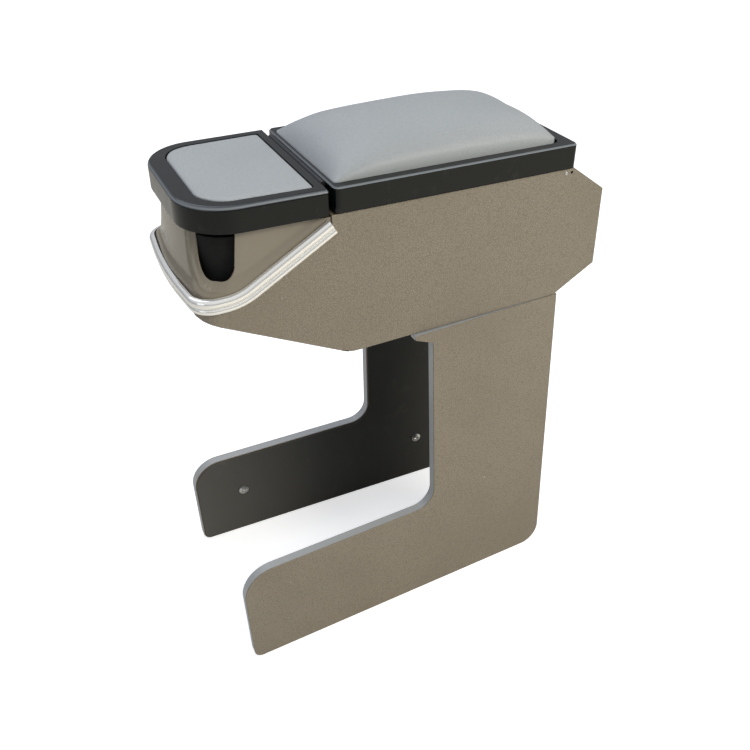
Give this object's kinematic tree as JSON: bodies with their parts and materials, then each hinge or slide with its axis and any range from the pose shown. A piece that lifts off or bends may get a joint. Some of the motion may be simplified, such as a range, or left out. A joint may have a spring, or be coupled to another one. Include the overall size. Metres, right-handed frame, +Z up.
{
  "type": "center console",
  "caption": "Box armrest console on splayed L-shaped legs, with a hinged cushioned lid over a bin and a hinged front lid over a tub in the moulded nose.",
  "frame": {"origin": "middle of the footprint on the floor", "axes": "+Z up, -X towards the moulded nose, +X towards the tail, +Y towards the right side as seen from the tail looking at the nose"},
  "size_m": [0.3635, 0.1808, 0.4659],
  "materials": {
    "taupe_vinyl": "fine grained satin vinyl",
    "edge_band": "satin grey band",
    "board": "raw fibreboard",
    "black_lining": "matt black sheet",
    "nose_plastic": "semi-gloss moulded plastic",
    "tub_plastic": "matt moulded plastic",
    "chrome": "bright",
    "black_plastic": "satin black",
    "lid_base": "matt black",
    "grey_leatherette": "soft matt leatherette",
    "steel": "zinc plated",
    "hinge_steel": "satin black",
    "rubber": "matt"
  },
  "bodies": {
    "console_body": {"body_cover": "taupe_vinyl", "chin_rail": "board", "chrome_trim": "chrome", "cross_plate": "board", "divider": "board", "floor_board": "board", "front_hinge_body_leaf": "hinge_steel", "front_hinge_body_screws": "hinge_steel", "front_hinge_pin": "hinge_steel", "front_lid_bumpers": "rubber", "front_tub": "tub_plastic", "left_bracket_screws": "steel", "left_leg_board": "board", "left_leg_brackets": "steel", "left_leg_cover": "taupe_vinyl", "left_leg_edge_band": "edge_band", "left_leg_lining": "black_lining", "left_lining_screws": "steel", "left_side_board": "board", "nose_shell": "nose_plastic", "plate_bolts": "steel", "plate_nuts": "steel", "rear_hinge_body_leaf": "hinge_steel", "rear_hinge_body_screws": "hinge_steel", "rear_hinge_pin": "hinge_steel", "rear_lid_bumpers": "rubber", "right_bracket_screws": "steel", "right_leg_board": "board", "right_leg_brackets": "steel", "right_leg_cover": "taupe_vinyl", "right_leg_edge_band": "edge_band", "right_leg_lining": "black_lining", "right_lining_screws": "steel", "right_side_board": "board", "side_nails": "steel", "slope_board": "board", "tail_board": "board", "tail_high_board": "board", "tail_low_board": "board", "tub_cleat": "board", "tub_screws": "steel"},
    "rear_lid": {"rear_lid_frame": "black_plastic", "rear_lid_base": "lid_base", "rear_cushion": "grey_leatherette", "rear_hinge_lid_leaf": "hinge_steel", "rear_hinge_lid_screws": "hinge_steel"},
    "front_lid": {"front_lid_frame": "black_plastic", "front_lid_base": "lid_base", "front_lid_pad": "grey_leatherette", "front_hinge_lid_leaf": "hinge_steel", "front_hinge_rivets": "hinge_steel"}
  },
  "joints": [
    {"name": "rear_lid_hinge", "type": "hinge", "parent": "console_body", "child": "rear_lid", "pos_m": [0.15277, 0, 0.4186], "axis": [0, 1, 0], "range_deg": [0, 95]},
    {"name": "front_lid_hinge", "type": "hinge", "parent": "console_body", "child": "front_lid", "pos_m": [-0.06517, 0, 0.44228], "axis": [0, 1, 0], "range_deg": [0, 80]}
  ]
}
